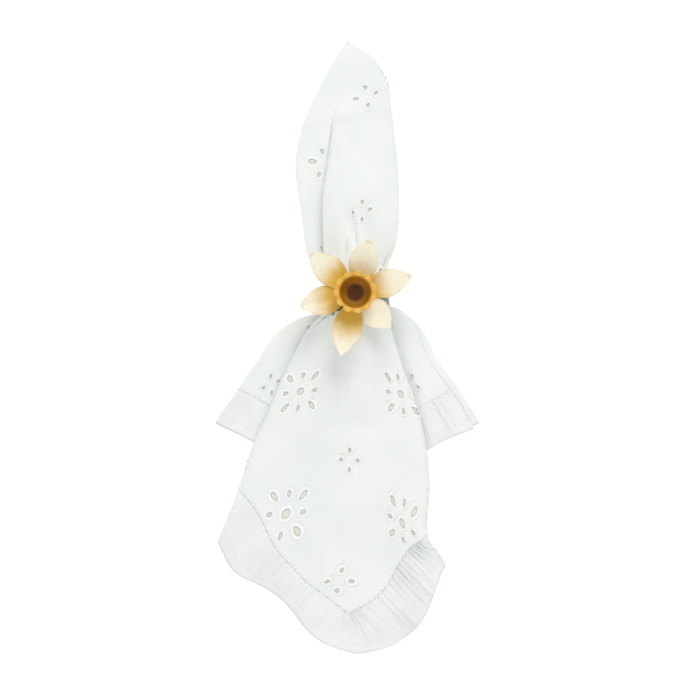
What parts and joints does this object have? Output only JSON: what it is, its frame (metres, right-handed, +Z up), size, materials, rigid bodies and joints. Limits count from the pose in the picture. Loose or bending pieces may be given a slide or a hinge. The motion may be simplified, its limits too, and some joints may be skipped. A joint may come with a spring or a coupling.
{
  "type": "napkin in a ring",
  "caption": "White eyelet napkin with a gathered ruffle, folded in quarters and drawn through a metal ring that carries a painted daffodil.",
  "frame": {"origin": "centre of the base of the whole object's box, on the table it lies on", "axes": "+Y from the loose ruffled corners towards the folded centre of the napkin, +Z up from the table, +X to the right as seen from above with the folded centre away from the viewer"},
  "size_m": [0.1523, 0.348, 0.054],
  "materials": {
    "eyelet_cotton": "matt plain-weave white cotton with satin-stitched eyelets",
    "ruffle_cotton": "matt plain-weave white cotton, gathered and hemmed",
    "green_enamel": "satin dark green paint",
    "petal_enamel": "satin paint shaded from mustard at the base to cream at the tips",
    "trumpet_enamel": "satin ochre paint, darker inside"
  },
  "bodies": {
    "root": {"napkin_panel": "eyelet_cotton", "napkin_ruffle": "ruffle_cotton", "ring_band": "green_enamel", "petals_lower": "petal_enamel", "petals_upper": "petal_enamel", "flower_cup": "trumpet_enamel"}
  },
  "joints": []
}
